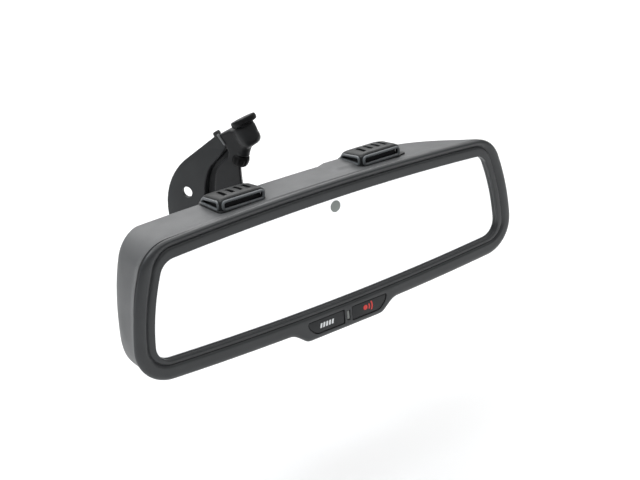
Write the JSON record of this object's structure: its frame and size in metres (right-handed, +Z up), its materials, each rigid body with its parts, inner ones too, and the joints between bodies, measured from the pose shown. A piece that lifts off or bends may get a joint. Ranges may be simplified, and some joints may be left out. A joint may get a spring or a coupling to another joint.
{
  "type": "interior rearview mirror",
  "caption": "Auto-dimming interior rearview mirror: framed glass head with call buttons and microphone pods on a ball-jointed arm that hangs from a windshield foot.",
  "frame": {"origin": "centre of the windshield foot's bonding face, the round face that meets the glass", "axes": "+X along the head to the viewer's right, +Y forward to the windshield, away from the viewer, +Z up"},
  "size_m": [0.2624, 0.1164, 0.1187],
  "materials": {
    "arm_casting": "satin black powder coat",
    "foot_steel": "dark phosphate",
    "ball_steel": "polished",
    "screw_steel": "zinc plated",
    "wing_plastic": "fine grain",
    "liner_nylon": "natural",
    "cup_steel": "sprung steel",
    "housing_plastic": "satin fine grain",
    "bezel_plastic": "satin",
    "mirror_glass": "polished",
    "seal": "matte",
    "clip_brass": "tinned",
    "foam": "foam",
    "carrier_plastic": "moulded",
    "circuit_board": "solder mask",
    "chip_plastic": "moulded",
    "sensor_lens": "polished",
    "ambient_window": "polished smoke",
    "connector_plastic": "moulded",
    "pin_brass": "gold flash",
    "pod_plastic": "satin",
    "mesh_fabric": "woven",
    "capsule_metal": "satin",
    "boot_rubber": "matte",
    "button_plastic": "satin",
    "mat_silicone": "matte",
    "light_pipe_clear": "polished",
    "led_white": "polished"
  },
  "bodies": {
    "mount": {"windshield_foot": "foot_steel", "mount_arm": "arm_casting", "set_screw": "screw_steel", "ball_stud": "ball_steel", "cable_wing": "wing_plastic", "wing_screw": "screw_steel"},
    "swivel_liner": {"socket_liner": "liner_nylon"},
    "tilt_cup": {"friction_cup": "cup_steel"},
    "head": {"rear_housing": "housing_plastic", "front_bezel": "bezel_plastic", "front_glass": "mirror_glass", "edge_seal": "seal", "rear_glass": "mirror_glass", "glass_clips": "clip_brass", "foam_pad": "foam", "carrier_plate": "carrier_plastic", "board_posts": "carrier_plastic", "main_board": "circuit_board", "board_chips": "chip_plastic", "board_screws": "screw_steel", "glare_sensor": "sensor_lens", "ambient_sensor": "chip_plastic", "ambient_lens": "ambient_window", "socket_housing": "carrier_plastic", "socket_screws": "screw_steel", "socket_clip": "ball_steel", "harness_socket": "connector_plastic", "harness_pins": "pin_brass", "pod_left": "pod_plastic", "pod_right": "pod_plastic", "pod_mesh_left": "mesh_fabric", "pod_mesh_right": "mesh_fabric", "microphone_left": "capsule_metal", "microphone_right": "capsule_metal", "mic_boot_left": "boot_rubber", "mic_boot_right": "boot_rubber", "switch_mat": "mat_silicone", "button_board": "circuit_board", "light_pipe": "light_pipe_clear", "indicator_led": "led_white"},
    "left_button": {"button_left": "button_plastic"},
    "right_button": {"button_right": "button_plastic"}
  },
  "joints": [
    {"name": "head_yaw", "type": "hinge", "parent": "mount", "child": "swivel_liner", "pos_m": [0.015, -0.02598, -0.067], "axis": [0, 0, 1], "range_deg": [-2, 62]},
    {"name": "head_pitch", "type": "hinge", "parent": "swivel_liner", "child": "tilt_cup", "pos_m": [0.015, -0.02598, -0.067], "axis": [1, 0, 0], "range_deg": [-12, 12]},
    {"name": "head_roll", "type": "hinge", "parent": "tilt_cup", "child": "head", "pos_m": [0.015, -0.02598, -0.067], "axis": [0, 1, 0], "range_deg": [-10, 10]},
    {"name": "left_press", "type": "slide", "parent": "head", "child": "left_button", "axis": [0, 1, 0], "range_m": [0, 0.001], "stiffness_N_per_m": 400, "springref_m": -0.001},
    {"name": "right_press", "type": "slide", "parent": "head", "child": "right_button", "axis": [0, 1, 0], "range_m": [0, 0.001], "stiffness_N_per_m": 400, "springref_m": -0.001}
  ]
}
